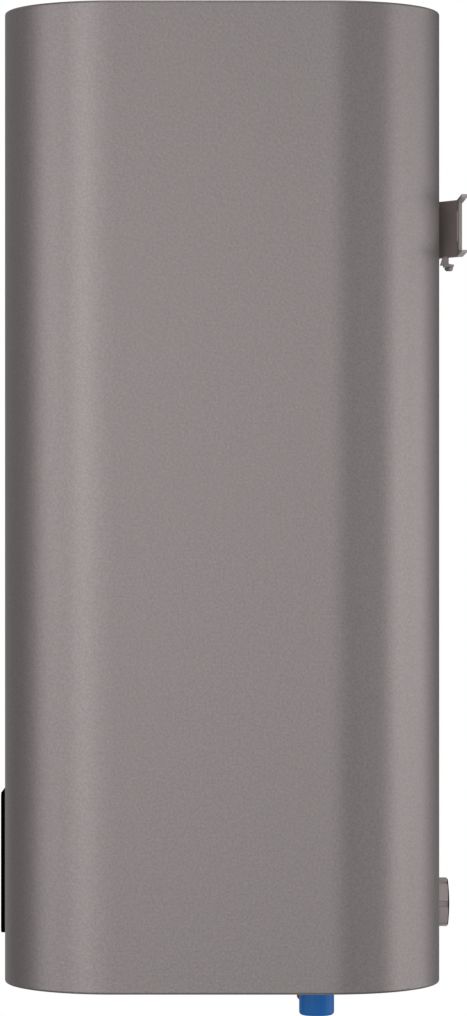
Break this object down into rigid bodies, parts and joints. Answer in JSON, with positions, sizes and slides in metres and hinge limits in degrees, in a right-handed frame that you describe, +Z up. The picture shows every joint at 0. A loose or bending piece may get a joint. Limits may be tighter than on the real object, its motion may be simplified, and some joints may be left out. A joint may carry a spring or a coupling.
{
  "type": "electric water heater",
  "caption": "Flat wall-hung storage water heater with a painted casing, twin tanks, front control panel, fork bracket, screw-out wall spacer and capped pipe ends.",
  "frame": {"origin": "on the wall plane, on the heater's middle plane, at the height of the wall bracket's centre line", "axes": "+Z up, the front looks along -Y and the wall is at Y = 0, +X is the right side seen from the front of a person looking along +Y, the cold pipe's side"},
  "size_m": [0.434, 0.2782, 0.6098],
  "materials": {
    "titanium_paint": "satin",
    "grey_plastic": "satin",
    "zinc_steel": "satin",
    "bracket_steel": "satin",
    "stainless": "satin",
    "brass": "satin",
    "copper": "satin",
    "magnesium": "matte",
    "white_plastic": "satin",
    "rubber": "matte",
    "blue_plastic": "satin",
    "red_plastic": "satin",
    "foam": "matte",
    "black_gloss": "gloss",
    "black_plastic": "satin",
    "board_green": "satin",
    "loom_sleeve": "matte"
  },
  "bodies": {
    "body": {"casing": "titanium_paint", "top_cover": "grey_plastic", "bottom_cover": "grey_plastic", "bottom_screw_1": "zinc_steel", "bottom_screw_2": "zinc_steel", "bottom_screw_3": "zinc_steel", "bottom_screw_4": "zinc_steel", "wall_bracket": "bracket_steel", "lock_screw_left": "zinc_steel", "lock_screw_right": "zinc_steel", "bracket_bolt_1": "zinc_steel", "bracket_bolt_2": "zinc_steel", "bracket_bolt_3": "zinc_steel", "bracket_bolt_4": "zinc_steel", "tank_hanger": "zinc_steel", "spacer_stud": "zinc_steel", "tank_left": "stainless", "tank_right": "stainless", "transfer_pipe": "stainless", "cold_pipe": "brass", "hot_pipe": "brass", "cold_diffuser": "white_plastic", "cold_grommet": "rubber", "hot_grommet": "rubber", "plug_left": "brass", "plug_right": "brass", "gasket_left": "rubber", "gasket_right": "rubber", "heating_element_left": "copper", "heating_element_right": "copper", "anode_left": "magnesium", "anode_right": "magnesium", "sensor_pocket_left": "stainless", "sensor_pocket_right": "stainless", "foam_lagging": "foam", "panel_front": "black_gloss", "panel_frame": "black_plastic", "display_board": "board_green", "power_board": "board_green", "cable_gland": "black_plastic", "gland_nut": "black_plastic", "terminal_block": "white_plastic", "thermal_cutout": "white_plastic", "earth_stud": "zinc_steel", "element_loom_left": "loom_sleeve", "element_loom_right": "loom_sleeve", "mains_loom": "loom_sleeve"},
    "spacer_slider": {"spacer_pad": "black_plastic"},
    "spacer_turner": {"spacer_knob": "grey_plastic"},
    "power_key": {"button_power": "black_plastic"},
    "mode_key": {"button_mode": "black_plastic"},
    "minus_key": {"button_minus": "black_plastic"},
    "plus_key": {"button_plus": "black_plastic"},
    "reset_key": {"reset_button": "red_plastic"},
    "cold_pipe_cap": {"cold_cap": "blue_plastic"},
    "hot_pipe_cap": {"hot_cap": "red_plastic"}
  },
  "joints": [
    {"name": "spacer_travel", "type": "slide", "parent": "body", "child": "spacer_slider", "axis": [0, 1, 0], "range_m": [0, 0.00625]},
    {"name": "spacer_turn", "type": "hinge", "parent": "spacer_slider", "child": "spacer_turner", "pos_m": [0, -0.0144, -0.4166], "axis": [0, 1, 0], "range_deg": [0, 1800]},
    {"name": "press_power", "type": "slide", "parent": "body", "child": "power_key", "axis": [0, 1, 0], "range_m": [0, 0.001], "stiffness_N_per_m": 1200, "springref_m": -0.0005},
    {"name": "press_mode", "type": "slide", "parent": "body", "child": "mode_key", "axis": [0, 1, 0], "range_m": [0, 0.001], "stiffness_N_per_m": 1200, "springref_m": -0.0005},
    {"name": "press_minus", "type": "slide", "parent": "body", "child": "minus_key", "axis": [0, 1, 0], "range_m": [0, 0.001], "stiffness_N_per_m": 1200, "springref_m": -0.0005},
    {"name": "press_plus", "type": "slide", "parent": "body", "child": "plus_key", "axis": [0, 1, 0], "range_m": [0, 0.001], "stiffness_N_per_m": 1200, "springref_m": -0.0005},
    {"name": "press_reset", "type": "slide", "parent": "body", "child": "reset_key", "axis": [0, 0, 1], "range_m": [0, 0.0012], "stiffness_N_per_m": 1200, "springref_m": -0.0005},
    {"name": "pull_cold_cap", "type": "slide", "parent": "body", "child": "cold_pipe_cap", "axis": [0, 0, -1], "range_m": [0, 0.03]},
    {"name": "pull_hot_cap", "type": "slide", "parent": "body", "child": "hot_pipe_cap", "axis": [0, 0, -1], "range_m": [0, 0.03]}
  ],
  "couplings": [
    {"joint": "spacer_travel", "follows": "spacer_turn", "m_per_rad": 0.00019894}
  ]
}
